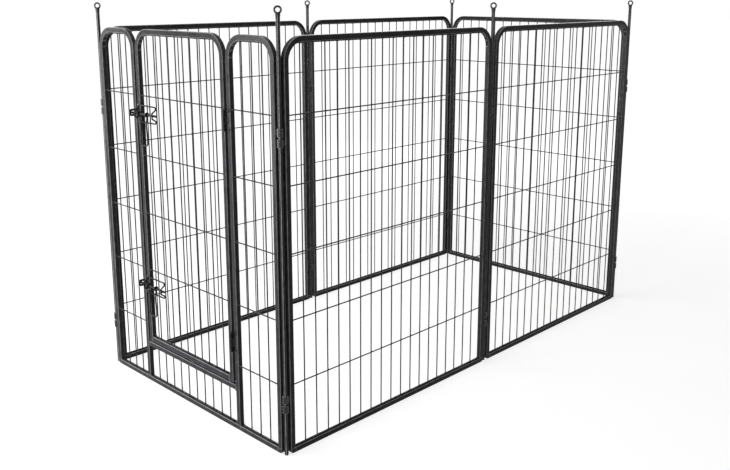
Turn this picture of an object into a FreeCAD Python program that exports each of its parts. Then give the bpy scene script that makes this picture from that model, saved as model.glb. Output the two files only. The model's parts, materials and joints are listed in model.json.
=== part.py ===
# Six-panel metal pet playpen: five plain mesh walls and one wall with a latched door, joined at the
# corners by lift-out pins. Millimetres, +Z up, origin on the floor at the centre of the outline.
import FreeCAD, Part
import math
import os
import Sketcher
from FreeCAD import Placement, Rotation, Vector

doc = FreeCAD.newDocument("playpen")

# Driving dimensions.
sizes = {
    # walls
    "panelPitch": 780,        # hinge axis to hinge axis along one wall
    "panelHeight": 1000,
    "tubeSize": 14,           # square tube of every frame
    "tubeWall": 1.2,
    "tubeCorner": 2.5,        # outer radius of the tube's long edges
    "axisGap": 10,            # hinge axis to the face of the side tube
    "bendRadius": 55,         # outer radius of the top bends
    "footRadius": 8,          # rounding of the bottom corners
    # mesh
    "wireDia": 3.2,
    "wireClear": 0.1,         # gap between wires that cross
    "uprightCount": 18,
    "crossCount": 5,
    # corner eyes and pins
    "pinDia": 10,
    "pinClear": 0.5,          # radial play of a pin in its eyes
    "eyeWall": 2,
    "eyeHeight": 19,
    "eyeGap": 5,              # between the two eyes of one pair
    "neckWidth": 6,
    "neckHeight": 9,
    "upperEyeLevel": 754,     # underside of the upper pair
    "lowerEyeLevel": 111.5,   # underside of the lower pair
    "pinTop": 1057,           # centre of the pull ring
    "ringDia": 19,
    "ringWire": 4.5,
    "ringTurn": 45,           # degrees from the long walls' outward direction
    "collarDia": 12.5,        # the rod widens to this below its ring
    "collarHeight": 12,
    "tipChamfer": 1.5,
    # door wall
    "bayWidth": 177,          # outside width of the fixed bay beside the door
    "bayUprights": 3,
    "sillBase": 107.5,        # underside of the threshold tube
    "sillUprights": 10,
    "latchGap": 8,
    "hingeGap": 10,
    "doorLift": 4.5,          # gap between threshold and door
    "doorUprights": 10,
    # door hinges
    "leafWidth": 14,
    "leafThick": 2,
    "leafHeight": 50,
    "barrelDia": 9,
    "hingePinDia": 5,
    "hingePlay": 0.05,
    "knuckleGap": 0.4,
    "hingeHeadDia": 7,
    "hingeHeadHeight": 1.5,
    "upperHingeLevel": 772,   # underside of the leaves
    "lowerHingeLevel": 213,
    # latches
    "boltDia": 6,
    "boltOut": 8,             # bolt axis in front of the tube faces
    "boltPlay": 0.5,
    "boltReach": 5.5,         # tip beyond the middle of the keeper
    "boltTail": 11,           # tail beyond the far side of the guide
    "boltChamfer": 1,
    "upperBoltLevel": 777,
    "lowerBoltLevel": 296,
    "keeperDia": 6,
    "keeperHeight": 20,
    "keeperBend": 4.5,
    "guideDia": 4,
    "guideLength": 84.5,
    "guideHeight": 48,
    "guideBend": 5,
    "guideStep": 8,           # height of each slope of the hump over the bolt
    "handleWire": 4,
    "handleWidth": 38,        # between the two eyes
    "handleWaist": 26,
    "handleFoot": 32,
    "handleDrop": 84,
    "handlePlay": 0.05,
    "handleSetOff": 32.5,     # middle of the guide's stile side to the middle of the handle
}
dims = doc.addObject("Spreadsheet::Sheet", "dims")
for row, (alias, value) in enumerate(sizes.items(), start=1):
    dims.set(f"A{row}", alias)
    dims.set(f"B{row}", str(value))
    dims.setAlias(f"B{row}", alias)
doc.recompute()


def size(name):
    return float(dims.get(name))


# Expressions that several pieces share.
inner = "(dims.axisGap + dims.tubeSize)"
wallSpan = "(dims.panelPitch - 2 * dims.axisGap)"
wallMesh = f"(dims.panelPitch - 2 * {inner})"
halfTube = "(dims.tubeSize / 2)"
wireRadius = "(dims.wireDia / 2)"
wireShift = "((dims.wireDia + dims.wireClear) / 2)"
innerBend = "(dims.bendRadius - dims.tubeSize)"
crossStep = "((dims.panelHeight - 2 * dims.tubeSize) / (dims.crossCount + 1))"
eyeRadius = "(dims.pinDia / 2 + dims.pinClear + dims.eyeWall)"
bayEnd = "(dims.axisGap + dims.bayWidth)"
doorStart = f"({bayEnd} + dims.latchGap)"
doorEnd = f"(dims.panelPitch - {bayEnd} - dims.hingeGap)"
doorWidth = f"({doorEnd} - {doorStart})"
doorFoot = "(dims.sillBase + dims.tubeSize + dims.doorLift)"
sillSpan = f"(dims.panelPitch - 2 * {bayEnd})"
keeperOut = "(dims.boltOut + dims.boltDia / 2 + dims.boltPlay + dims.keeperDia / 2)"
originShift = f"(({keeperOut} + {halfTube} + dims.keeperDia / 2 - {eyeRadius}) / 2)"

# Each wall: corner where its left end stands, as multiples of the pitch, and its turn about Z.
walls = {
    "front_left": (-1, -0.5, 0),
    "front_right": (0, -0.5, 0),
    "right_end": (1, -0.5, 90),
    "back_right": (1, 0.5, 180),
    "back_left": (0, 0.5, 180),
    "door_wall": (-1, 0.5, 270),
}
kept = []


def keep(piece, wall):
    """Stand a finished piece in its wall and list it for writing."""
    across, along, turn = walls[wall]
    piece.Placement = Placement(Vector(), Rotation(Vector(0, 0, 1), turn))
    piece.setExpression("Placement.Base.x", f"{across} * dims.panelPitch + {originShift}")
    piece.setExpression("Placement.Base.y", f"{along} * dims.panelPitch")
    kept.append(piece)
    return piece


def newBody(label):
    body = doc.addObject("PartDesign::Body", label)
    body.Label = label
    body.AllowCompound = True
    return body


def originPart(body, role):
    return next(item for item in body.Origin.OriginFeatures if item.Role == role)


def bind(item, **expressions):
    for name, expression in expressions.items():
        item.setExpression(name.replace("__", "."), str(expression))


def newSketch(body, plane, right="0", up="0", off="0"):
    """Sketch on one of the body's own planes; its origin is moved right and up on it, and off it."""
    sketch = body.newObject("Sketcher::SketchObject", "sketch")
    sketch.AttachmentSupport = (originPart(body, plane), [""])
    sketch.MapMode = "FlatFace"
    bind(sketch, AttachmentOffset__Base__x=right, AttachmentOffset__Base__y=up, AttachmentOffset__Base__z=off)
    return sketch


def limit(sketch, kind, *where, value):
    """Add a dimension to a sketch and bind it to an expression."""
    start = abs(float(dims.evalExpression(value)))
    held = sketch.addConstraint(Sketcher.Constraint(kind, *where, start))
    sketch.setExpression(f"Constraints[{held}]", value)


def drawCircle(sketch, radius):
    index = sketch.addGeometry(Part.Circle(Vector(), Vector(0, 0, 1), 1), False)
    sketch.addConstraint(Sketcher.Constraint("Coincident", index, 3, -1, 1))
    limit(sketch, "Radius", index, value=radius)


def drawRoundSquare(sketch, side, corner):
    """Square with rounded corners about the sketch's origin."""
    half = float(dims.evalExpression(side)) / 2
    bend = float(dims.evalExpression(corner))
    flat = half - bend
    lines, arcs = [], []
    for quarter in range(4):
        turn = Rotation(Vector(0, 0, 1), 90 * quarter)
        ends = [turn.multVec(Vector(x, -half, 0)) for x in (-flat, flat)]
        lines.append(sketch.addGeometry(Part.LineSegment(*ends), False))
        heart = turn.multVec(Vector(flat, -flat, 0))
        start = math.radians(90 * quarter - 90)
        bow = Part.ArcOfCircle(Part.Circle(heart, Vector(0, 0, 1), bend), start, start + math.pi / 2)
        arcs.append(sketch.addGeometry(bow, False))
    for quarter in range(4):
        sketch.addConstraint(Sketcher.Constraint("Tangent", lines[quarter], 2, arcs[quarter], 1))
        sketch.addConstraint(Sketcher.Constraint("Tangent", arcs[quarter], 2, lines[(quarter + 1) % 4], 1))
        if quarter:
            sketch.addConstraint(Sketcher.Constraint("Equal", arcs[0], arcs[quarter]))
    sketch.addConstraint(Sketcher.Constraint("Horizontal", lines[2]))
    sketch.addConstraint(Sketcher.Constraint("Vertical", lines[3]))
    sketch.addConstraint(Sketcher.Constraint("Symmetric", lines[0], 1, lines[0], 2, -2))
    sketch.addConstraint(Sketcher.Constraint("Symmetric", lines[1], 1, lines[1], 2, -1))
    limit(sketch, "Radius", arcs[0], value=corner)
    limit(sketch, "DistanceX", lines[3], 1, lines[1], 1, value=side)
    limit(sketch, "DistanceY", lines[0], 1, lines[2], 1, value=side)


def drawArch(sketch, width, foot, top, bend):
    """Open path of an inverted U: up from foot, over at top, down again, starting at the left leg."""
    w, z0, z1, r = (float(dims.evalExpression(item)) for item in (width, foot, top, bend))
    lean = r * math.sqrt(0.5)
    left = Part.LineSegment(Vector(0, z0, 0), Vector(0, z1 - r, 0))
    leftBend = Part.Arc(Vector(0, z1 - r, 0), Vector(r - lean, z1 - r + lean, 0), Vector(r, z1, 0))
    over = Part.LineSegment(Vector(r, z1, 0), Vector(w - r, z1, 0))
    rightBend = Part.Arc(Vector(w - r, z1, 0), Vector(w - r + lean, z1 - r + lean, 0), Vector(w, z1 - r, 0))
    right = Part.LineSegment(Vector(w, z1 - r, 0), Vector(w, z0, 0))
    sketch.addGeometry([left, leftBend, over, rightBend, right], False)
    sketch.addConstraint(Sketcher.Constraint("Tangent", 0, 2, 1, 2))
    sketch.addConstraint(Sketcher.Constraint("Tangent", 1, 1, 2, 1))
    sketch.addConstraint(Sketcher.Constraint("Tangent", 2, 2, 3, 2))
    sketch.addConstraint(Sketcher.Constraint("Tangent", 3, 1, 4, 1))
    sketch.addConstraint(Sketcher.Constraint("Vertical", 0))
    sketch.addConstraint(Sketcher.Constraint("Vertical", 4))
    sketch.addConstraint(Sketcher.Constraint("Horizontal", 2))
    sketch.addConstraint(Sketcher.Constraint("Equal", 1, 3))
    sketch.addConstraint(Sketcher.Constraint("PointOnObject", 0, 1, -2))
    limit(sketch, "Radius", 1, value=bend)
    limit(sketch, "DistanceX", 0, 1, 4, 2, value=width)
    limit(sketch, "DistanceY", -1, 1, 0, 1, value=foot)
    limit(sketch, "DistanceY", -1, 1, 4, 2, value=foot)
    limit(sketch, "DistanceY", -1, 1, 2, 1, value=top)


def bentFrame(label, wall, start, width, foot):
    """Inverted U of hollow square tube, its legs standing at height foot."""
    body = newBody(label)
    middle = f"({start} + {halfTube})"
    path = newSketch(body, "XZ_Plane", right=middle)
    drawArch(path, f"({width} - dims.tubeSize)", foot, f"(dims.panelHeight - {halfTube})",
             f"(dims.bendRadius - {halfTube})")
    edges = [f"Edge{number}" for number in range(1, 6)]
    bore = "(dims.tubeSize - 2 * dims.tubeWall)"
    steps = (("AdditivePipe", "dims.tubeSize", "dims.tubeCorner"),
             ("SubtractivePipe", bore, "(dims.tubeCorner - dims.tubeWall)"))
    for kind, side, corner in steps:
        profile = newSketch(body, "XY_Plane", right=middle, off=foot)
        drawRoundSquare(profile, side, corner)
        pipe = body.newObject(f"PartDesign::{kind}", kind)
        pipe.Profile = profile
        pipe.Spine = (path, edges)
    return keep(body, wall)


def box(body, kind, near, span):
    """Additive or subtractive box from its lowest corner and its three lengths."""
    block = body.newObject(f"PartDesign::{kind}Box", "block")
    block.AttachmentSupport = (originPart(body, "XY_Plane"), [""])
    block.MapMode = "FlatFace"
    bind(block, Length=span[0], Width=span[1], Height=span[2], AttachmentOffset__Base__x=near[0],
         AttachmentOffset__Base__y=near[1], AttachmentOffset__Base__z=near[2])
    return block


def dressEdges(body, kind, amount, chosen):
    """Fillet or chamfer the edges of the body's last feature whose bounding box the test picks."""
    doc.recompute()
    last = body.Tip
    names = [f"Edge{n}" for n, edge in enumerate(last.Shape.Edges, start=1) if chosen(edge.BoundBox)]
    dressing = body.newObject(f"PartDesign::{kind}", kind)
    dressing.Base = (last, names)
    dressing.setExpression("Radius" if kind == "Fillet" else "Size", amount)


def rail(label, wall, start, span, base, feet=None):
    """Closed hollow square tube lying along the wall, its lower end corners rounded if feet is given."""
    body = newBody(label)
    box(body, "Additive", (start, f"-{halfTube}", base), (span, "dims.tubeSize", "dims.tubeSize"))
    low = float(dims.evalExpression(base))
    half = size("tubeSize") / 2
    if feet:
        dressEdges(body, "Fillet", feet, lambda edge: edge.YLength > half and edge.ZMax < low + half)
    dressEdges(body, "Fillet", "dims.tubeCorner", lambda edge: edge.YLength < half and edge.XLength > half / 2)
    bore = ("dims.tubeSize - 2 * dims.tubeWall",) * 2
    box(body, "Subtractive", (f"{start} + {halfTube}", f"dims.tubeWall - {halfTube}", f"{base} + dims.tubeWall"),
        (f"{span} - dims.tubeSize", *bore))
    return keep(body, wall)


def rowOf(body, features, axis, step, count):
    """Repeat features along one of the body's axes."""
    row = body.newObject("PartDesign::LinearPattern", "row")
    row.Originals = features
    row.Direction = (originPart(body, axis), [""])
    row.Mode = "Spacing"
    bind(row, Offset=step, Occurrences=count)
    body.Tip = row
    return row


def pad(body, sketch, height):
    extrusion = body.newObject("PartDesign::Pad", "pad")
    extrusion.Profile = sketch
    bind(extrusion, Length=height)
    return extrusion


def uprights(body, start, width, foot, count, top=None):
    """Row of upright wires between two side tubes, ending on the top tube and its bends."""
    step = f"({width} / ({count} + 1))"
    bite = f"max(0; {innerBend} - {step} + {wireRadius})"
    sag = f"({innerBend} - sqrt({innerBend} ^ 2 - {bite} ^ 2))"
    top = top or f"(dims.panelHeight - dims.tubeSize - {sag})"
    profile = newSketch(body, "XY_Plane", right=f"{start} + {step}", up=wireShift, off=foot)
    drawCircle(profile, wireRadius)
    wire = pad(body, profile, f"{top} - {foot}")
    return rowOf(body, [wire], "X_Axis", step, count)


def crossWires(body, start, width, firstLevel, count):
    """Column of cross wires on the outward side of the uprights."""
    profile = newSketch(body, "YZ_Plane", right=f"-{wireShift}", up=firstLevel, off=start)
    drawCircle(profile, wireRadius)
    wire = pad(body, profile, width)
    return rowOf(body, [wire], "Z_Axis", crossStep, count)


def eyes(label, wall):
    """Two eyes at each end of a wall, each a short tube with a neck to the side tube."""
    body = newBody(label)
    lift = "dims.eyeHeight + dims.eyeGap"
    ends = (("0", "1", "dims.upperEyeLevel", f"dims.lowerEyeLevel + {lift}"),
            ("dims.panelPitch", "-1", f"dims.upperEyeLevel + {lift}", "dims.lowerEyeLevel"))
    for middle, side, upper, lower in ends:
        for level in (upper, lower):
            ring = newSketch(body, "XY_Plane", right=middle, off=level)
            drawCircle(ring, eyeRadius)
            pad(body, ring, "dims.eyeHeight")
            root = f"({eyeRadius} - dims.eyeWall / 2)"
            left = root if side == "1" else "-dims.axisGap"
            box(body, "Additive", (f"{middle} + {left}", "-dims.neckWidth / 2",
                f"{level} + (dims.eyeHeight - dims.neckHeight) / 2"),
                (f"dims.axisGap - {root}", "dims.neckWidth", "dims.neckHeight"))
    for middle in ("0", "dims.panelPitch"):
        hole = body.newObject("PartDesign::SubtractiveCylinder", "hole")
        hole.AttachmentSupport = (originPart(body, "XY_Plane"), [""])
        hole.MapMode = "FlatFace"
        bind(hole, Radius="dims.pinDia / 2 + dims.pinClear", Height="dims.panelHeight",
             AttachmentOffset__Base__x=middle)
    return keep(body, wall)


def plainWall(name):
    bentFrame(f"{name}_frame", name, "dims.axisGap", wallSpan, "dims.tubeSize")
    rail(f"{name}_bottom_rail", name, "dims.axisGap", wallSpan, "0", feet="dims.footRadius")
    body = newBody(f"{name}_upright_wires")
    uprights(body, inner, wallMesh, "dims.tubeSize", "dims.uprightCount")
    keep(body, name)
    body = newBody(f"{name}_cross_wires")
    crossWires(body, inner, wallMesh, f"dims.tubeSize + {crossStep}", "dims.crossCount")
    keep(body, name)
    eyes(f"{name}_hinge_eyes", name)


def fixedDoorWall():
    """The two bays beside the door, the rail below it and the threshold between them."""
    wall = "door_wall"
    bayMesh = "(dims.bayWidth - 2 * dims.tubeSize)"
    bays = {"left": "dims.axisGap", "right": f"(dims.panelPitch - {bayEnd})"}
    for side, start in bays.items():
        bentFrame(f"{side}_bay_frame", wall, start, "dims.bayWidth", "dims.tubeSize")
        body = newBody(f"{side}_bay_wires")
        uprights(body, f"({start} + dims.tubeSize)", bayMesh, "dims.tubeSize", "dims.bayUprights")
        crossWires(body, f"({start} + dims.tubeSize)", bayMesh, f"dims.tubeSize + {crossStep}", "dims.crossCount")
        keep(body, wall)
    rail("door_wall_bottom_rail", wall, "dims.axisGap", wallSpan, "0", feet="dims.footRadius")
    rail("threshold_tube", wall, bayEnd, sillSpan, "dims.sillBase")
    body = newBody("threshold_wires")
    uprights(body, bayEnd, sillSpan, "dims.tubeSize", "dims.sillUprights", top="dims.sillBase")
    keep(body, wall)
    eyes("door_wall_hinge_eyes", wall)


def door():
    wall = "door_wall"
    mesh = f"({doorWidth} - 2 * dims.tubeSize)"
    start = f"({doorStart} + dims.tubeSize)"
    bentFrame("door_frame", wall, doorStart, doorWidth, doorFoot)
    rail("door_bottom_rail", wall, start, mesh, doorFoot)
    body = newBody("door_upright_wires")
    uprights(body, start, mesh, f"({doorFoot} + dims.tubeSize)", "dims.doorUprights")
    keep(body, wall)
    body = newBody("door_cross_wires")
    crossWires(body, start, mesh, f"dims.tubeSize + 2 * {crossStep}", "dims.crossCount - 1")
    keep(body, wall)


hingeX = f"({doorEnd} + dims.hingeGap / 2)"
hingeY = f"(-{halfTube} - dims.barrelDia / 2)"
knuckleHeight = "((dims.leafHeight - 2 * dims.knuckleGap) / 3)"
hingeStep = "(dims.upperHingeLevel - dims.lowerHingeLevel)"


def standing(body, kind, radius, height, x, y, z):
    """Additive or subtractive upright cylinder."""
    drum = body.newObject(f"PartDesign::{kind}Cylinder", "drum")
    drum.AttachmentSupport = (originPart(body, "XY_Plane"), [""])
    drum.MapMode = "FlatFace"
    bind(drum, Radius=radius, Height=height, AttachmentOffset__Base__x=x, AttachmentOffset__Base__y=y,
         AttachmentOffset__Base__z=z)
    return drum


def hingeLeaves(label, side, knuckles):
    """Leaf of the upper and the lower door hinge: a plate with its own knuckles of the barrel."""
    body = newBody(label)
    reach = f"(dims.barrelDia / 2 + dims.knuckleGap)"
    low = "dims.lowerHingeLevel"
    plate = hingeX if side > 0 else f"({hingeX} - dims.leafWidth)"
    front = f"(-{halfTube} - dims.leafThick)"
    parts = [box(body, "Additive", (f"{plate} + {reach}" if side > 0 else plate, front, low),
                 (f"dims.leafWidth - {reach}", "dims.leafThick", "dims.leafHeight"))]
    for knuckle in knuckles:
        level = f"({low} + {knuckle} * ({knuckleHeight} + dims.knuckleGap))"
        parts.append(standing(body, "Additive", "dims.barrelDia / 2", knuckleHeight, hingeX, hingeY, level))
        parts.append(box(body, "Additive", (plate, front, level),
                         ("dims.leafWidth", "dims.leafThick", knuckleHeight)))
    parts.append(standing(body, "Subtractive", "dims.hingePinDia / 2 + dims.hingePlay", "dims.leafHeight",
                          hingeX, hingeY, low))
    rowOf(body, parts, "Z_Axis", hingeStep, "2")
    return keep(body, "door_wall")


def hingePins():
    """Pin of each door hinge, with a head above and below the barrel."""
    body = newBody("door_hinge_pins")
    low = "dims.lowerHingeLevel"
    shank = standing(body, "Additive", "dims.hingePinDia / 2", "dims.leafHeight", hingeX, hingeY, low)
    foot = standing(body, "Additive", "dims.hingeHeadDia / 2", "dims.hingeHeadHeight", hingeX, hingeY,
                    f"{low} - dims.hingeHeadHeight")
    head = standing(body, "Additive", "dims.hingeHeadDia / 2", "dims.hingeHeadHeight", hingeX, hingeY,
                    f"{low} + dims.leafHeight")
    rowOf(body, [shank, foot, head], "Z_Axis", hingeStep, "2")
    return keep(body, "door_wall")


def bentRod(points, bends, dia):
    """Round rod along straight runs joined by tangent arcs, one bend radius for each inner point."""
    edges = []
    last = points[0]
    for before, corner, after, bend in zip(points, points[1:], points[2:], bends):
        back = (before - corner).normalize()
        ahead = (after - corner).normalize()
        half = back.getAngle(ahead) / 2
        cut = bend / math.tan(half)
        middle = (back + ahead).normalize()
        heart = corner + middle * (bend / math.sin(half))
        start, end = corner + back * cut, corner + ahead * cut
        edges.append(Part.LineSegment(last, start).toShape())
        edges.append(Part.Arc(start, heart - middle * bend, end).toShape())
        last = end
    edges.append(Part.LineSegment(last, points[-1]).toShape())
    along = points[1] - points[0]
    section = Part.Wire([Part.Circle(points[0], along, dia / 2).toShape()])
    return Part.Wire(edges).makePipeShell([section], True, False)


def wirePiece(label, shape):
    piece = doc.addObject("Part::Feature", label)
    piece.Label = label
    piece.Shape = shape
    return keep(piece, "door_wall")


def measure(expression):
    return float(dims.evalExpression(expression))


boltLevels = {"upper": size("upperBoltLevel"), "lower": size("lowerBoltLevel")}
boltY = -measure(halfTube) - size("boltOut")
keeperX = measure(bayEnd) - measure(halfTube)
guideLeft = measure(doorStart) + measure(halfTube)


def keepers():
    """Staple on the bay's side tube at each latch; the bolt's tip passes through it."""
    rise = (size("keeperHeight") - size("keeperDia")) / 2
    face = -measure(halfTube)
    far = face - measure(keeperOut)
    staples = []
    for level in boltLevels.values():
        corners = [Vector(keeperX, y, level + z) for y, z in ((face, -rise), (far, -rise), (far, rise), (face, rise))]
        staples.append(bentRod(corners, [size("keeperBend")] * 2, size("keeperDia")))
    return wirePiece("latch_keepers", Part.Compound(staples))


def latchGuide(name, level):
    """Wire hoop on the door's side tube; both of its upright sides hump over the bolt."""
    near = -measure(halfTube) - size("guideDia") / 2
    far = boltY - size("boltDia") / 2 - size("boltPlay") - size("guideDia") / 2
    half = (size("guideHeight") - size("guideDia")) / 2
    crest = size("boltDia") / 2 + size("guideDia")
    slope = crest + size("guideStep")
    right = guideLeft + size("guideLength")
    hump = [(near, slope), (far, crest), (far, -crest), (near, -slope)]
    points = [Vector(guideLeft - size("guideDia"), near, level - half), Vector(right, near, level - half)]
    points += [Vector(right, y, level - z) for y, z in hump]
    points += [Vector(right, near, level + half), Vector(guideLeft, near, level + half)]
    points += [Vector(guideLeft, y, level + z) for y, z in hump]
    points.append(Vector(guideLeft, near, level - half + 2 * size("guideDia")))
    bends = [size("guideBend")] + [size("guideDia")] * 4 + [size("guideBend")] * 2 + [size("guideDia")] * 4
    return wirePiece(f"{name}_latch_guide", bentRod(points, bends, size("guideDia")))


def bolt(name):
    """Straight sliding rod with chamfered ends."""
    body = newBody(f"{name}_bolt")
    tip = f"({bayEnd} - {halfTube} - dims.boltReach)"
    tail = f"({doorStart} + {halfTube} + dims.guideLength + dims.boltTail)"
    profile = newSketch(body, "YZ_Plane", right=f"-{halfTube} - dims.boltOut", up=f"dims.{name}BoltLevel", off=tip)
    drawCircle(profile, "dims.boltDia / 2")
    pad(body, profile, f"{tail} - {tip}")
    dressEdges(body, "Chamfer", "dims.boltChamfer", lambda edge: edge.XLength < size("boltDia"))
    return keep(body, "door_wall")


def handle(name, level):
    """Wire loop that hangs from the bolt by two eyes."""
    wire = size("handleWire")
    loop = (size("boltDia") + wire) / 2 + size("handlePlay")
    middle = guideLeft + size("handleSetOff")
    eye, waist, foot = (size(item) / 2 for item in ("handleWidth", "handleWaist", "handleFoot"))
    drop = size("handleDrop")
    levels = (loop, 0.33 * drop, 0.68 * drop, drop)
    outline = [(-eye, levels[0]), (-waist, levels[1]), (-foot, levels[2]), (-foot, levels[3])]
    outline += [(-x, z) for x, z in reversed(outline)]
    points = [Vector(middle + x, boltY, level - z) for x, z in outline]
    wide, tight = 5 * wire, 2 * wire
    shape = bentRod(points, [wide, wide, tight, tight, wide, wide], wire)
    for side in (-eye, eye):
        ring = Part.makeTorus(loop, wire / 2, Vector(middle + side, boltY, level), Vector(1, 0, 0))
        shape = shape.fuse(ring)
    return wirePiece(f"{name}_latch_handle", shape.removeSplitter())


def cornerPin(label, wall):
    """Lift-out rod with a chamfered tip, a collar and a pull ring."""
    body = newBody(label)
    ringBase = "(dims.pinTop - dims.ringDia / 2)"
    standing(body, "Additive", "dims.pinDia / 2", f"{ringBase} + dims.ringWire / 2", "0", "0", "0")
    dressEdges(body, "Chamfer", "dims.tipChamfer", lambda edge: edge.ZMax < size("pinDia"))
    collar = body.newObject("PartDesign::AdditiveCone", "collar")
    ring = body.newObject("PartDesign::AdditiveTorus", "ring")
    for item in (collar, ring):
        item.AttachmentSupport = (originPart(body, "XY_Plane"), [""])
        item.MapMode = "FlatFace"
    bind(collar, Radius1="dims.pinDia / 2", Radius2="dims.collarDia / 2", Height="dims.collarHeight",
         AttachmentOffset__Base__z=f"{ringBase} + dims.ringWire / 2 - dims.collarHeight")
    turn = -size("ringTurn") - walls[wall][2]
    lie = Rotation(Vector(0, 0, 1), turn).multiply(Rotation(Vector(1, 0, 0), 90))
    ring.AttachmentOffset = Placement(Vector(), lie)
    bind(ring, Radius1="(dims.ringDia - dims.ringWire) / 2", Radius2="dims.ringWire / 2",
         AttachmentOffset__Base__z="dims.pinTop")
    return keep(body, wall)


for name in walls:
    if name != "door_wall":
        plainWall(name)
fixedDoorWall()
door()
hingeLeaves("fixed_hinge_leaves", 1, (0, 2))
hingeLeaves("door_hinge_leaves", -1, (1,))
hingePins()
keepers()
for name, level in boltLevels.items():
    latchGuide(name, level)
    bolt(name)
    handle(name, level)
for name in walls:
    cornerPin(f"{name}_pin", name)
doc.recompute()

for item in doc.Objects:
    for trouble in ("Invalid", "Error"):
        if trouble in item.State:
            raise RuntimeError(f"{item.Label}: {item.State}")
for piece in kept:
    if piece.Shape.isNull() or not piece.Shape.isValid():
        raise RuntimeError(f"{piece.Label} has no valid shape")

os.makedirs("parts", exist_ok=True)
for piece in kept:
    piece.Shape.exportStep(f"parts/{piece.Label}.step")
    print(piece.Label, len(piece.Shape.Solids), round(piece.Shape.Volume))
print(len(kept), "pieces")
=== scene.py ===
import json
import math
import random

import bmesh
import bpy
from mathutils import Matrix, Vector


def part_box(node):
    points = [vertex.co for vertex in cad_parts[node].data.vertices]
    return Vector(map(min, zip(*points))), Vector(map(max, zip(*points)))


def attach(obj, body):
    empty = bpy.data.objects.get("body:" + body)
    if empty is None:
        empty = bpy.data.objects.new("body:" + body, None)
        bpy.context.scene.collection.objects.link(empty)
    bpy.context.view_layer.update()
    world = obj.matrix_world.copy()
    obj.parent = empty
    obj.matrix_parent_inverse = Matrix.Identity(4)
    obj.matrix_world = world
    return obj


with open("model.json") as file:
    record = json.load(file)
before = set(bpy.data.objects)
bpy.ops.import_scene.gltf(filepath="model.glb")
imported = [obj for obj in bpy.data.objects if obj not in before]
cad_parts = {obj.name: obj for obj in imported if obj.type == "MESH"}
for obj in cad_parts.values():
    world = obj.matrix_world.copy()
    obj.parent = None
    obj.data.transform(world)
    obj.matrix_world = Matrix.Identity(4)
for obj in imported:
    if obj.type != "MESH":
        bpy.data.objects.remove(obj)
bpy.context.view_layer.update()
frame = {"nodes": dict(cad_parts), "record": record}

nodes = frame["nodes"]
plainWalls = ["front_left", "front_right", "right_end", "back_right", "back_left"]


# camera: outside the corner between the door wall and a long wall, a little above the top rails

lens = {
    "place": (-2.0005, -1.868, 1.095), "turn": 44.608, "down": 12.02, "focal": 42.83, "shift": -0.08,
    "far": 100.0,
}


def makeCamera():
    data = bpy.data.cameras.new("camera")
    data.lens = lens["focal"]
    data.shift_y = lens["shift"]
    data.clip_end = lens["far"]
    camera = bpy.data.objects.new("camera", data)
    camera.location = lens["place"]
    camera.rotation_euler = (math.radians(90 - lens["down"]), 0, math.radians(lens["turn"] - 90))
    bpy.context.scene.collection.objects.link(camera)
    bpy.context.scene.camera = camera


# room: pale floor and a plain studio of soft boxes

room = {
    "floorColour": 0.42, "floorRough": 0.9, "floorWidth": 60.0, "floorGlow": (0.75, 0.99),
    "glowReach": (1.0, 4.2), "ambient": 0.08,
}
lamps = {
    "leftBox": {
        "place": (-2.35, 0.95, 0.8), "aim": (-0.78, 0.0, 0.5), "width": 1.1, "height": 1.4, "watts": 46.0,
    },
    "backBox": {
        "place": (-1.5, 2.5, 1.2), "aim": (-0.5, 0.0, 0.8), "width": 0.9, "height": 1.8, "watts": 25.0,
    },
    "nearStrip": {
        "place": (-2.35, -0.95, 0.9), "aim": (-0.77, -0.39, 0.8), "width": 0.07, "height": 1.7,
        "watts": 10.0,
    },
    "rightBox": {
        "place": (2.6, 2.0, 1.6), "aim": (0.4, 0.2, 0.6), "width": 2.4, "height": 2.2, "watts": 20.0,
    },
    "topBox": {
        "place": (-0.3, -0.2, 3.4), "aim": (0.0, 0.0, 0.0), "width": 1.4, "height": 1.4, "watts": 40.0,
    },
}


def mathStep(tree, operation, first, second):
    # a sum on two inputs, each of them an output of another node or a number
    step = tree.nodes.new("ShaderNodeMath")
    step.operation = operation
    for socket, value in zip(step.inputs, (first, second)):
        if isinstance(value, float):
            socket.default_value = value
        else:
            tree.links.new(value, socket)
    return step.outputs[0]


def between(tree, factor, low, high, reach=(0.0, 1.0), curve="LINEAR"):
    # from low to high while the factor goes through its reach
    spread = tree.nodes.new("ShaderNodeMapRange")
    spread.interpolation_type = curve
    spread.inputs["From Min"].default_value, spread.inputs["From Max"].default_value = reach
    spread.inputs["To Min"].default_value = low
    spread.inputs["To Max"].default_value = high
    tree.links.new(factor, spread.inputs["Value"])
    return spread.outputs["Result"]


def seenDirectly(tree):
    # 1 for the camera, gloss and clear parts, 0 for the light that falls on things
    rays = tree.nodes.new("ShaderNodeLightPath").outputs
    glossy = mathStep(tree, "MAXIMUM", rays["Is Camera Ray"], rays["Is Glossy Ray"])
    return mathStep(tree, "MAXIMUM", glossy, rays["Is Transmission Ray"])


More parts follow.
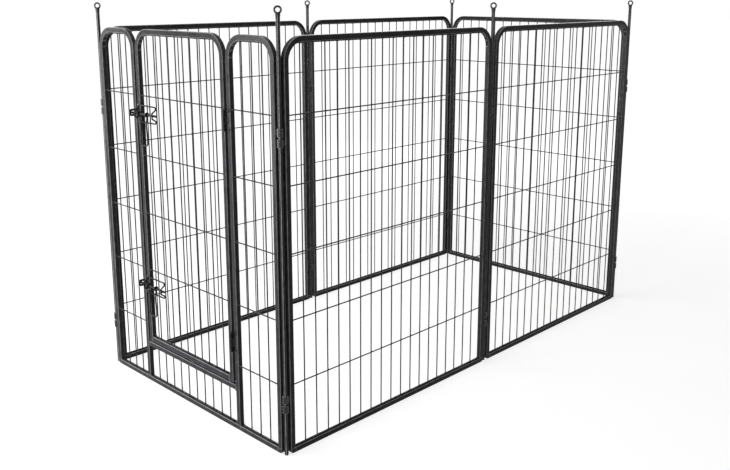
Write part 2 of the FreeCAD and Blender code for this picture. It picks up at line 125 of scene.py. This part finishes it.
def makeFloor():
    mesh = bpy.data.meshes.new("floor")
    plane = bmesh.new()
    bmesh.ops.create_grid(plane, x_segments=1, y_segments=1, size=room["floorWidth"] / 2)
    plane.to_mesh(mesh)
    plane.free()
    paleFloor = bpy.data.materials.new("paleFloor")
    paleFloor.use_nodes = True
    tree = paleFloor.node_tree
    shader = tree.nodes["Principled BSDF"]
    shader.inputs["Base Color"].default_value = (room["floorColour"],) * 3 + (1,)
    shader.inputs["Roughness"].default_value = room["floorRough"]
    shader.inputs["Specular IOR Level"].default_value = 0.0
    shader.inputs["Emission Color"].default_value = (1, 1, 1, 1)
    # the glow rises with distance, so that the floor runs into the white of the room
    distance = tree.nodes.new("ShaderNodeVectorMath")
    distance.operation = "LENGTH"
    tree.links.new(tree.nodes.new("ShaderNodeTexCoord").outputs["Object"], distance.inputs[0])
    rise = between(tree, distance.outputs["Value"], *room["floorGlow"], room["glowReach"], "SMOOTHSTEP")
    glow = mathStep(tree, "MULTIPLY", seenDirectly(tree), rise)
    tree.links.new(glow, shader.inputs["Emission Strength"])
    mesh.materials.append(paleFloor)
    floor = bpy.data.objects.new("floor", mesh)
    bpy.context.scene.collection.objects.link(floor)


def makeStudio():
    studio = bpy.data.worlds.new("studio")
    studio.use_nodes = True
    tree = studio.node_tree
    light = tree.nodes["Background"]
    light.inputs["Color"].default_value = (1, 1, 1, 1)
    tree.links.new(between(tree, seenDirectly(tree), room["ambient"], 1.0), light.inputs["Strength"])
    bpy.context.scene.world = studio
    for name, lamp in lamps.items():
        data = bpy.data.lights.new(name, "AREA")
        data.shape = "RECTANGLE"
        data.size = lamp["width"]
        data.size_y = lamp["height"]
        data.energy = lamp["watts"]
        box = bpy.data.objects.new(name, data)
        aim = Vector(lamp["aim"]) - Vector(lamp["place"])
        turn = aim.to_track_quat("-Z", "Y").to_matrix().to_4x4()
        box.matrix_world = Matrix.Translation(lamp["place"]) @ turn
        bpy.context.scene.collection.objects.link(box)


makeCamera()
makeFloor()
makeStudio()
bpy.context.scene.view_settings.view_transform = "Standard"
print("camera, floor and soft boxes ready")


# finishes: black powder coat on everything, each kind of steel with its own grain

# each finish also holds the colour and strength of a painted highlight along its edges; the pins' is a
# painted highlight line down the side given last
finishes = {
    "frameCoat": {
        "dark": (0.0260, 0.0260, 0.0285), "light": (0.0470, 0.0470, 0.0500), "mottle": 70.0, "pits": 520.0,
        "bump": 0.10, "rough": (0.13, 0.22), "specular": 0.06, "paintedHighlight": (0.52, 0.52, 0.53), "highlightStrength": 0.48,
    },
    "wireCoat": {
        "dark": (0.0120, 0.0120, 0.0130), "light": (0.0300, 0.0300, 0.0320), "mottle": 45.0, "pits": 900.0,
        "bump": 0.10, "rough": (0.20, 0.30), "specular": 0.12, "paintedHighlight": (0.10, 0.10, 0.10), "highlightStrength": 0.15,
    },
    "pinCoat": {
        "dark": (0.0080, 0.0080, 0.0088), "light": (0.0200, 0.0200, 0.0215), "mottle": 60.0, "pits": 700.0,
        "bump": 0.04, "rough": (0.08, 0.14), "specular": 0.20, "paintedHighlight": (0.60, 0.60, 0.61), "highlightStrength": 0.75,
        # the side of the pins that takes a painted highlight line
        "highlightSide": (-0.788, -0.616, 0.0),
    },
    "hardwareCoat": {
        "dark": (0.0050, 0.0050, 0.0054), "light": (0.0130, 0.0130, 0.0140), "mottle": 110.0, "pits": 800.0,
        "bump": 0.10, "rough": (0.14, 0.24), "specular": 0.12, "paintedHighlight": (0.22, 0.22, 0.22), "highlightStrength": 0.5,
    },
    "eyeCoat": {
        "dark": (0.0080, 0.0080, 0.0088), "light": (0.0340, 0.0340, 0.0355), "mottle": 190.0, "pits": 700.0,
        "bump": 0.15, "rough": (0.10, 0.20), "specular": 0.30, "paintedHighlight": (0.55, 0.55, 0.56), "highlightStrength": 0.85,
    },
    "weldCoat": {
        "dark": (0.008, 0.008, 0.009), "light": (0.060, 0.060, 0.062), "mottle": 260.0, "pits": 1100.0,
        "bump": 0.20, "rough": (0.10, 0.22), "specular": 0.60, "paintedHighlight": (0.35, 0.35, 0.35), "highlightStrength": 0.6,
    },
}


# how a coat varies: grain of its mottle and patches, where edges take a painted highlight, depth of its
# orange peel
coatShape = {
    "tones": (0.36, 0.66), "mottleDetail": 4.0, "patchDetail": 3.0, "patchScale": 0.6, "grain": 0.6,
    "edgeRadius": 0.0012, "edgeSamples": 4, "edgeReach": (0.995, 0.90), "cornerReach": (0.08, 0.23),
    "highlightLineReach": (0.988, 0.999), "peelDepth": 0.0005,
}


def noise(tree, where, scale, detail):
    grain = tree.nodes.new("ShaderNodeTexNoise")
    grain.inputs["Scale"].default_value = scale
    grain.inputs["Detail"].default_value = detail
    grain.inputs["Roughness"].default_value = coatShape["grain"]
    tree.links.new(where, grain.inputs["Vector"])
    return grain.outputs["Fac"]


def ramp(tree, factor, stops):
    tones = tree.nodes.new("ShaderNodeValToRGB")
    for spot, (position, colour) in zip(tones.color_ramp.elements, stops):
        spot.position = position
        spot.color = (*colour, 1)
    tree.links.new(factor, tones.inputs["Fac"])
    return tones.outputs["Color"]


def agreement(tree, normal):
    # a node that compares a normal with a second vector, still to be given
    agree = tree.nodes.new("ShaderNodeVectorMath")
    agree.operation = "DOT_PRODUCT"
    tree.links.new(normal, agree.inputs[0])
    return agree


def edgeHighlightMask(tree):
    # a painted highlight only along edges, where a softened normal leaves the true one
    soft = tree.nodes.new("ShaderNodeBevel")
    soft.samples = coatShape["edgeSamples"]
    soft.inputs["Radius"].default_value = coatShape["edgeRadius"]
    agree = agreement(tree, soft.outputs["Normal"])
    tree.links.new(tree.nodes.new("ShaderNodeNewGeometry").outputs["Normal"], agree.inputs[1])
    return between(tree, agree.outputs["Value"], 0.0, 1.0, coatShape["edgeReach"])


def cornerHighlightMask(tree, normal, axis):
    # a painted highlight along the rounded long edges of a square tube that is thin along the axis, where
    # the normal leans as much to one face as to the next
    apart = tree.nodes.new("ShaderNodeSeparateXYZ")
    tree.links.new(normal, apart.inputs[0])
    square = mathStep(tree, "MULTIPLY", apart.outputs[axis], apart.outputs[axis])
    rest = mathStep(tree, "SUBTRACT", 1.0, square)
    return between(tree, mathStep(tree, "MULTIPLY", square, rest), 0.0, 1.0, coatShape["cornerReach"])


def rodHighlightMask(tree, normal, side):
    # a painted highlight line down a round rod, on the side that faces the given direction
    agree = agreement(tree, normal)
    agree.inputs[1].default_value = side
    return between(tree, agree.outputs["Value"], 0.0, 1.0, coatShape["highlightLineReach"])


def coatedSteel(name, thin=None):
    # thin is the axis across a square tube's frame, and None on any other shape
    look = finishes[name]
    material = bpy.data.materials.new(name if thin is None else name + "XY"[thin])
    material.use_nodes = True
    tree = material.node_tree
    shader = tree.nodes["Principled BSDF"]
    shader.inputs["Specular IOR Level"].default_value = look["specular"]
    place = tree.nodes.new("ShaderNodeTexCoord")
    where = place.outputs["Object"]
    normal = place.outputs["Normal"]
    mottle = noise(tree, where, look["mottle"], coatShape["mottleDetail"])
    coat = ramp(tree, mottle, zip(coatShape["tones"], (look["dark"], look["light"])))
    # a painted highlight lightens the coat in patches along the edges, or in a line down a pin, its
    # strength doubled as the patches average a half
    patches = noise(tree, where, look["mottle"] * coatShape["patchScale"], coatShape["patchDetail"])
    if "highlightSide" in look:
        mask = rodHighlightMask(tree, normal, look["highlightSide"])
    elif thin is None:
        mask = edgeHighlightMask(tree)
    else:
        mask = cornerHighlightMask(tree, normal, thin)
    paintedHighlight = mathStep(tree, "MULTIPLY", mask, between(tree, patches, 0.0, look["highlightStrength"] * 2))
    blend = tree.nodes.new("ShaderNodeMix")
    blend.data_type = "RGBA"
    tree.links.new(paintedHighlight, blend.inputs[0])  # colours go in at 6 and 7 and come out at 2
    tree.links.new(coat, blend.inputs[6])
    blend.inputs[7].default_value = (*look["paintedHighlight"], 1)
    tree.links.new(blend.outputs[2], shader.inputs["Base Color"])
    tree.links.new(between(tree, mottle, *look["rough"]), shader.inputs["Roughness"])
    # orange peel of the powder over broader waves
    peel = tree.nodes.new("ShaderNodeTexVoronoi")
    peel.feature = "SMOOTH_F1"
    peel.inputs["Scale"].default_value = look["pits"]
    tree.links.new(where, peel.inputs["Vector"])
    height = mathStep(tree, "ADD", peel.outputs["Distance"], mottle)
    bump = tree.nodes.new("ShaderNodeBump")
    bump.inputs["Strength"].default_value = look["bump"]
    bump.inputs["Distance"].default_value = coatShape["peelDepth"]
    tree.links.new(height, bump.inputs["Height"])
    tree.links.new(bump.outputs["Normal"], shader.inputs["Normal"])
    return material


coats = {name: coatedSteel(name) for name in finishes if name != "frameCoat"}
# one copy of the frame coat for each axis its tubes are thin along, so that its painted highlight runs down
# their corners
tubeCoats = [coatedSteel("frameCoat", thin) for thin in (0, 1)]
slotCoats = {"wire_coat": "wireCoat", "pin_coat": "pinCoat", "hardware_coat": "hardwareCoat"}


def coatOf(node, slot):
    # what has the frame's slot is a square tube of one frame, or a wall's hinge eyes
    if slot in slotCoats:
        return coats[slotCoats[slot]]
    if node.endswith("_eyes"):
        return coats["eyeCoat"]
    reach = Vector(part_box(node)[1]) - Vector(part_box(node)[0])
    return tubeCoats[0 if reach.x < reach.y else 1]


for part in frame["record"]["subparts"]:
    coat = coatOf(part["node"], part["material_slot"])
    for slot in nodes[part["node"]].material_slots:
        slot.material = coat
print("coats on", len(nodes), "nodes")


# a wall's own axes: u from the left side tube's outer face, v inward from the wall's middle, w up

def axesOf(node):
    low, high = (Vector(corner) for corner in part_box(node))
    middle = (low + high) / 2
    thin = 0 if high.x - low.x < high.y - low.y else 1
    outward = Vector((0, 0, 0))
    outward[thin] = math.copysign(1, middle[thin])
    along = Vector((0, 0, 1)).cross(outward)
    start = Vector((middle.x, middle.y, 0)) - along * (high - low).dot(Vector(map(abs, along))) / 2
    turn = Matrix((along, -outward, (0, 0, 1))).transposed().to_4x4()
    return Matrix.Translation(start) @ turn


def spanOf(node, axes):
    # the node's lowest and highest u, v and w
    corners = [axes.inverted() @ Vector(corner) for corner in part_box(node)]
    return [Vector(map(pick, *corners)) for pick in (min, max)]


def finishPiece(name, shape, axes, body, material):
    bmesh.ops.transform(shape, matrix=axes, verts=shape.verts)
    for face in shape.faces:
        face.smooth = True
    mesh = bpy.data.meshes.new(name)
    shape.to_mesh(mesh)
    shape.free()
    mesh.materials.append(material)
    piece = bpy.data.objects.new(name, mesh)
    bpy.context.scene.collection.objects.link(piece)
    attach(piece, body)


# welds: rows of small overlapping beads, a dab at every wire end and crossing

weld = {
    "bead": 0.0013, "beadShape": (1.15, 1.3, 0.5), "pace": 0.0024, "dab": (0.0026, 0.0026, 0.0013),
    "crossing": (0.0024, 0.0021, 0.0024), "uneven": 0.22, "dropSides": 8, "dropRows": 5, "seed": 5,
}
chance = random.Random(weld["seed"])


def makeDrop():
    drop = bpy.data.meshes.new("drop")
    ball = bmesh.new()
    sides, rows = weld["dropSides"], weld["dropRows"]
    bmesh.ops.create_uvsphere(ball, u_segments=sides, v_segments=rows, radius=1)
    ball.to_mesh(drop)
    ball.free()
    return drop


# a wire one unit long that wavers a little, as welding heat leaves it

strandShape = {"sides": 10, "steps": 40, "waver": 0.07}


def makeStrand():
    strand = bpy.data.meshes.new("strand")
    wire = bmesh.new()
    bmesh.ops.create_circle(wire, cap_ends=True, segments=strandShape["sides"], radius=1)
    wire.faces.ensure_lookup_table()
    tip = wire.faces[0]
    for _ in range(strandShape["steps"]):
        grown = bmesh.ops.extrude_face_region(wire, geom=[tip])["geom"]
        tip = next(item for item in grown if isinstance(item, bmesh.types.BMFace))
        waver = [chance.uniform(-strandShape["waver"], strandShape["waver"]) for _ in range(2)]
        bmesh.ops.translate(wire, verts=tip.verts[:], vec=(*waver, 1 / strandShape["steps"]))
    bmesh.ops.recalc_face_normals(wire, faces=wire.faces[:])
    wire.to_mesh(strand)
    wire.free()
    return strand


drop = makeDrop()
strand = makeStrand()


def stamp(shape, pattern, matrix):
    # add a copy of a small mesh to a piece
    copy = pattern.copy()
    copy.transform(matrix)
    shape.from_mesh(copy)
    bpy.data.meshes.remove(copy)


def dab(shape, centre, radii, turn=Matrix.Identity(4)):
    uneven = [radius * (1 + chance.uniform(-weld["uneven"], weld["uneven"])) for radius in radii]
    stamp(shape, drop, Matrix.Translation(centre) @ turn @ Matrix.Diagonal((*uneven, 1)))


def wireRun(shape, start, end, radius):
    run = Vector(end) - Vector(start)
    turn = run.to_track_quat("Z", "Y").to_matrix().to_4x4()
    size = Matrix.Diagonal((radius, radius, run.length, 1))
    stamp(shape, strand, Matrix.Translation(start) @ turn @ size)


def beadRow(shape, start, end, facing, size):
    # beads from start to end, flattened along facing, size being a share of the usual bead
    start, end = Vector(start), Vector(end)
    run = end - start
    count = max(2, round(run.length / weld["pace"]) + 1)
    side = run.normalized().cross(Vector(facing)).normalized()
    turn = Matrix((run.normalized(), side, facing)).transposed().to_4x4()
    radius = weld["bead"] * size
    for step in range(count):
        spot = start + run * step / (count - 1)
        dab(shape, spot, [radius * share for share in weld["beadShape"]], turn)


def evenly(low, high, count):
    # places between low and high that part it in equal steps
    return [low + (high - low) * step / (count + 1) for step in range(1, count + 1)]


# how many wires each mesh has, and their radius
webbing = {
    "uprights": 18, "crosses": 5, "bayUprights": 3, "doorUprights": 10, "doorCrosses": 4,
    "wire": 0.0016,
}


def meshOf(axes, uprightNode, crossNode, count):
    # columns of a mesh, the edges it ends on, and the v of both layers of wire
    upright, cross = spanOf(uprightNode, axes), spanOf(crossNode, axes)
    sides = (cross[0][0], cross[1][0])
    ends = (upright[0][2], upright[1][2])
    layers = (upright[1][1] - webbing["wire"], cross[0][1] + webbing["wire"])
    return {"columns": evenly(*sides, count), "sides": sides, "ends": ends, "layers": layers}


def wireDabs(shape, web, levels):
    # a dab at each end of each wire and at each crossing
    inner, outer = web["layers"]
    for column in web["columns"]:
        for level in web["ends"]:
            dab(shape, (column, inner, level), weld["dab"])
    sideways = Matrix.Rotation(math.pi / 2, 4, "Y")
    for level in levels:
        for end in web["sides"]:
            dab(shape, (end, outer, level), weld["dab"], sideways)
        for column in web["columns"]:
            dab(shape, (column, (inner + outer) / 2, level), weld["crossing"])


# the mesh's own edge wires lie along the rails and are tacked to them beside each upright: way is 1
# above a rail and -1 below one, and shy shortens the upper and the lower wire, in this order

edge = {"tack": (0.0030, 0.0016, 0.0022), "bury": 0.0002, "shy": 0.012}


def edgeWires(name, axes, web, body, levels, shy):
    shape = bmesh.new()
    left, right = web["sides"]
    outer = web["layers"][1]
    for level, way in levels:
        middle = level + way * (webbing["wire"] - edge["bury"])
        short = shy[way > 0]
        start, end = left + short, right - short
        wireRun(shape, (start, outer, middle), (end, outer, middle), webbing["wire"])
        for place in (*web["columns"], start, end):
            dab(shape, (place, outer, middle), edge["tack"])
    finishPiece(name, shape, axes, body, coats["wireCoat"])


# foot of a side tube: sizes of its bead rows, and how far they stay off the corner next to a wall
foot = {"cornerShy": 0.004, "fillet": 1.3, "seam": 0.8, "upright": 0.9, "uprightFrom": 0.15}


def footWelds(shape, left, right, tube, level):
    # seams where a side tube and the rail below it meet, and the fillet inside their corner
    half = tube / 2
    shy = foot["cornerShy"]
    for inner, outer in ((left + tube, left + shy), (right - tube, right - shy)):
        beadRow(shape, (inner, shy - half, level), (inner, half - shy, level), (0, 0, 1), foot["fillet"])
        for face in (-half, half):
            beadRow(shape, (inner, face, level), (outer, face, level), (0, 1, 0), foot["seam"])
            low = level * foot["uprightFrom"]
            beadRow(shape, (inner, face, low), (inner, face, level), (0, 1, 0), foot["upright"])


# top bends: their outer radius, and each crease's angle round the bend and share of the full depth
topBend = {
    "radius": 0.055, "creases": ((0, 1.0), (24, 0.5), (45, 0.7), (66, 0.5), (90, 1.0)),
    "depth": 0.0009, "share": 0.40, "length": 0.0022,
}


def bendCreases(shape, left, right, top, tube):
    # the inside of a bent square tube gathers in creases, the deepest where the bend starts and ends
    radius = topBend["radius"]
    inner = radius - tube
    for centre, way in ((left + radius, 1), (right - radius, -1)):
        for angle, depth in topBend["creases"]:
            lean = math.radians(angle)
            spot = (centre - way * inner * math.cos(lean), 0, top - radius + inner * math.sin(lean))
            turn = Matrix.Rotation(way * lean, 4, "Y")
            size = (topBend["depth"] * depth, tube * topBend["share"], topBend["length"])
            dab(shape, spot, size, turn)


# hinge eyes, two close together at each end of a side, and the necks that carry them
eye = {"height": 0.019, "gap": 0.005, "neckWidth": 0.006, "neckHeight": 0.009, "bead": 1.1}


def eyeWelds(shape, axes, eyesNode, width):
    low, high = spanOf(eyesNode, axes)
    rise = eye["height"] + eye["gap"]
    rows = (
        (0.0, low[2] + rise), (0.0, high[2] - rise - eye["height"]),
        (width, low[2]), (width, high[2] - eye["height"]),
    )
    reach = eye["neckHeight"] / 2
    for face, base in rows:
        middle = base + eye["height"] / 2
        for side in (-1, 1):
            flank = side * eye["neckWidth"] / 2
            lower, upper = (face, flank, middle - reach), (face, flank, middle + reach)
            beadRow(shape, lower, upper, (1, 0, 0), eye["bead"])
            level = middle + side * reach
            beadRow(shape, (face, -flank, level), (face, flank, level), (1, 0, 0), eye["bead"])


def topShy(tube):
    # how far the upper edge wire stops short of the mesh's side, clear of the bend
    return topBend["radius"] - tube - edge["shy"]


def dressWall(wall):
    axes = axesOf(wall + "_frame")
    low, high = spanOf(wall + "_frame", axes)
    tube = high[1] - low[1]
    web = meshOf(axes, wall + "_upright_wires", wall + "_cross_wires", webbing["uprights"])
    shape = bmesh.new()
    wireDabs(shape, web, evenly(*web["ends"], webbing["crosses"]))
    footWelds(shape, low[0], high[0], tube, low[2])
    bendCreases(shape, low[0], high[0], high[2], tube)
    eyeWelds(shape, axes, wall + "_hinge_eyes", high[0])
    finishPiece(wall + "_welds", shape, axes, wall + "_wall", coats["weldCoat"])
    levels = ((low[2], 1), (high[2] - tube, -1))
    edgeWires(wall + "_edge_wires", axes, web, wall + "_wall", levels, (topShy(tube), 0.0))


for wall in plainWalls:
    dressWall(wall)
print("welds and edge wires on", len(plainWalls), "plain walls")


# door wall: two bays, the rail below, the threshold, and the door itself

# bead sizes round the end of a rail between two side tubes
railEnd = {"across": 1.2, "upright": 0.9}


def railEndWelds(shape, ends, faces, levels):
    # a rail let in between two side tubes has a bead all round each end
    for end in ends:
        for level in levels:
            beadRow(shape, (end, faces[0], level), (end, faces[1], level), (1, 0, 0), railEnd["across"])
        for face in faces:
            beadRow(shape, (end, face, levels[0]), (end, face, levels[1]), (0, 1, 0), railEnd["upright"])


def dressDoorWall():
    axes = axesOf("door_wall_bottom_rail")
    width = spanOf("door_wall_bottom_rail", axes)[1][0]
    shape = bmesh.new()
    for bay in ("left_bay", "right_bay"):
        low, high = spanOf(bay + "_frame", axes)
        tube = high[1] - low[1]
        web = meshOf(axes, bay + "_wires", bay + "_wires", webbing["bayUprights"])
        wireDabs(shape, web, evenly(*web["ends"], webbing["crosses"]))
        footWelds(shape, low[0], high[0], tube, low[2])
        bendCreases(shape, low[0], high[0], high[2], tube)
        levels = ((low[2], 1), (high[2] - tube, -1))
        edgeWires(bay + "_edge_wires", axes, web, "door_wall", levels, (topShy(tube), 0.0))
    eyeWelds(shape, axes, "door_wall_hinge_eyes", width)
    low, high = spanOf("threshold_tube", axes)
    railEndWelds(shape, (low[0], high[0]), (low[1], high[1]), (low[2], high[2]))
    web = meshOf(axes, "threshold_wires", "threshold_tube", webbing["doorUprights"])
    wires = spanOf("threshold_wires", axes)
    web["layers"] = (wires[1][1] - webbing["wire"], -wires[1][1] + webbing["wire"])
    wireDabs(shape, web, ())
    levels = ((wires[0][2], 1), (wires[1][2], -1))
    edgeWires("threshold_edge_wires", axes, web, "door_wall", levels, (0.0, 0.0))
    leafWelds(shape, axes, "fixed_hinge_leaves", 1)
    keeperWelds(shape, axes)
    finishPiece("door_wall_welds", shape, axes, "door_wall", coats["weldCoat"])


# the door's fittings: leaves and keepers as tall as these, with the welds that hold them
fitting = {
    "leafHeight": 0.050, "stitches": 3, "stitch": 0.011, "stitchBead": 1.4,
    "keeperHeight": 0.020, "collar": (1.45, 0.5, 1.45), "guideSeam": 0.006, "guideBead": 1.5,
}


def leafWelds(shape, axes, node, way):
    # short stitches down the free edge of each leaf
    low, high = spanOf(node, axes)
    free = high[0] if way > 0 else low[0]
    face = high[1]
    half = fitting["stitch"] / 2
    for base in (low[2], high[2] - fitting["leafHeight"]):
        for middle in evenly(base, base + fitting["leafHeight"], fitting["stitches"]):
            lower, upper = (free, face, middle - half), (free, face, middle + half)
            beadRow(shape, lower, upper, (0, 1, 0), fitting["stitchBead"])


def keeperWelds(shape, axes):
    # a collar of weld round each foot of the two staples
    low, high = spanOf("latch_keepers", axes)
    middle = (low[0] + high[0]) / 2
    radius = (high[0] - low[0]) / 2
    collar = [radius * share for share in fitting["collar"]]
    for bottom in (low[2], high[2] - fitting["keeperHeight"]):
        for level in (bottom + radius, bottom + fitting["keeperHeight"] - radius):
            dab(shape, (middle, high[1], level), collar)


def guideWelds(shape, axes, node):
    # the hoop's fixed side is welded to the door's side tube above and below the bolt
    low, high = spanOf(node, axes)
    for level in (low[2], high[2]):
        inward = math.copysign(fitting["guideSeam"], (low[2] + high[2]) / 2 - level)
        start, end = (low[0], high[1], level), (low[0], high[1], level + inward)
        beadRow(shape, start, end, (0, 1, 0), fitting["guideBead"])


def dressDoor():
    axes = axesOf("door_wall_bottom_rail")
    low, high = spanOf("door_frame", axes)
    tube = high[1] - low[1]
    web = meshOf(axes, "door_upright_wires", "door_cross_wires", webbing["doorUprights"])
    cross = spanOf("door_cross_wires", axes)
    gap = (cross[1][2] - cross[0][2] - 2 * webbing["wire"]) / (webbing["doorCrosses"] - 1)
    levels = [cross[0][2] + webbing["wire"] + gap * step for step in range(webbing["doorCrosses"])]
    shape = bmesh.new()
    wireDabs(shape, web, levels)
    bendCreases(shape, low[0], high[0], high[2], tube)
    railEndWelds(shape, web["sides"], (low[1], high[1]), (low[2], low[2] + tube))
    leafWelds(shape, axes, "door_hinge_leaves", -1)
    for latch in ("upper", "lower"):
        guideWelds(shape, axes, latch + "_latch_guide")
    finishPiece("door_welds", shape, axes, "door", coats["weldCoat"])
    levels = ((low[2] + tube, 1), (high[2] - tube, -1))
    edgeWires("door_edge_wires", axes, web, "door", levels, (topShy(tube), 0.0))


dressDoorWall()
dressDoor()
print("welds and edge wires on the door wall and the door")


# pins: a fillet of weld between the ring and the rod

ringWeld = {"drop": 0.0168, "dabs": 7, "spread": 0.0034, "dab": (0.0022, 0.0022, 0.0026)}


def dressPin(node):
    low, high = (Vector(corner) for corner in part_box(node))
    middle = (low + high) / 2
    level = high.z - ringWeld["drop"]
    shape = bmesh.new()
    spread = ringWeld["spread"]
    for step in range(ringWeld["dabs"]):
        angle = 2 * math.pi * step / ringWeld["dabs"]
        spot = (middle.x + spread * math.cos(angle), middle.y + spread * math.sin(angle), level)
        dab(shape, spot, ringWeld["dab"])
    finishPiece(node + "_weld", shape, Matrix.Identity(4), node, coats["pinCoat"])


for wall in plainWalls + ["door_wall"]:
    dressPin(wall + "_pin")
print("pins dressed")
